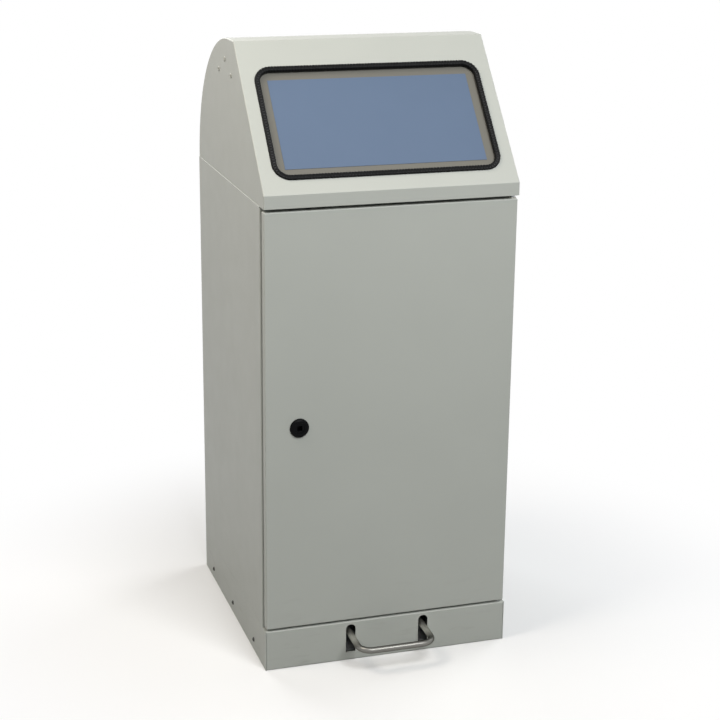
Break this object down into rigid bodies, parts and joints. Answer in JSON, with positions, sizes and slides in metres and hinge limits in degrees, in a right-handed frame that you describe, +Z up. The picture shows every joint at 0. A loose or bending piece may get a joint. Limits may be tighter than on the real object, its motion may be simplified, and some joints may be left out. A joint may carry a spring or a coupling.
{
  "type": "pedal recycling bin",
  "caption": "Tall sheet-steel recycling bin on a plinth: foot pedal opens an inward-swinging flap in the sloping hood, lockable door in front of a lift-out inner container.",
  "frame": {"origin": "on the floor, in the middle of the footprint with the pedal in it", "axes": "+Z up, +X to the right as seen from the front, front with door and pedal facing -Y"},
  "size_m": [0.4044, 0.487, 0.96],
  "materials": {
    "grey_coat": "fine satin powder coat",
    "flap_grey": "satin powder coat",
    "blue_face": "smooth blue face sheet",
    "black_rubber": "ribbed soft rubber",
    "black_lock": "moulded black",
    "grey_head": "coated rivet heads",
    "zinc_steel": "zinc plated",
    "bright_steel": "bright drawn bar",
    "spring_steel": "oiled wire",
    "white_plastic": "bearing plastic",
    "black_plastic": "moulded caps",
    "galvanised_steel": "spangled zinc"
  },
  "bodies": {
    "cabinet": {"plinth_frame": "grey_coat", "plinth_front": "grey_coat", "plinth_screws": "zinc_steel", "pedal_rail_left": "zinc_steel", "pedal_rail_right": "zinc_steel", "pedal_bushes": "white_plastic", "pedal_buffers": "black_rubber", "cabinet_shell": "grey_coat", "cabinet_floor": "grey_coat", "head_rail": "grey_coat", "top_frame": "grey_coat", "hinge_pin_lower": "zinc_steel", "hinge_pin_upper": "zinc_steel", "door_buffers": "black_rubber", "rod_guide_lower": "zinc_steel", "rod_guide_upper": "zinc_steel", "rod_guide_bushes": "white_plastic", "hood_shell": "grey_coat", "hood_screws": "zinc_steel", "window_trim": "black_rubber", "flap_bracket_left": "zinc_steel", "flap_bracket_right": "zinc_steel", "bracket_rivets": "grey_head", "flap_bushes": "white_plastic", "closing_spring": "spring_steel", "inner_container": "galvanised_steel"},
    "door": {"door_panel": "grey_coat", "door_stiffener": "grey_coat", "hinge_bushes": "white_plastic", "lock_housing": "black_lock", "lock_nut": "zinc_steel"},
    "lock": {"lock_spindle": "black_lock", "lock_tongue": "zinc_steel", "tongue_screw": "zinc_steel"},
    "pedal": {"pedal_bar": "bright_steel", "pedal_shaft": "zinc_steel", "pedal_lever": "zinc_steel"},
    "push_rod": {"push_rod": "zinc_steel", "rod_caps": "black_plastic"},
    "flap": {"flap_panel": "flap_grey", "colour_panel": "blue_face", "flap_axle": "zinc_steel", "flap_lever": "zinc_steel"}
  },
  "joints": [
    {"name": "door_swing", "type": "hinge", "parent": "cabinet", "child": "door", "pos_m": [0.192, -0.1735, 0.4], "axis": [0, 0, 1], "range_deg": [0, 110]},
    {"name": "lock_turn", "type": "hinge", "parent": "door", "child": "lock", "pos_m": [-0.145, -0.1815, 0.4], "axis": [0, 1, 0], "range_deg": [0, 90]},
    {"name": "flap_swing", "type": "hinge", "parent": "cabinet", "child": "flap", "pos_m": [0, 0.0495, 0.912], "axis": [1, 0, 0], "range_deg": [0, 62], "stiffness_Nm_per_rad": 1, "springref_deg": -69.9, "deforming": ["closing_spring"]},
    {"name": "pedal_press", "type": "hinge", "parent": "cabinet", "child": "pedal", "pos_m": [0, -0.0615, 0.05], "axis": [1, 0, 0], "range_deg": [0, 10.5]},
    {"name": "rod_lift", "type": "slide", "parent": "cabinet", "child": "push_rod", "axis": [0, 0, 1], "range_m": [0, 0.0243]}
  ],
  "couplings": [
    {"joint": "pedal_press", "follows": "flap_swing", "ratio": 0.16774},
    {"joint": "rod_lift", "follows": "flap_swing", "m_per_rad": 0.022179}
  ]
}
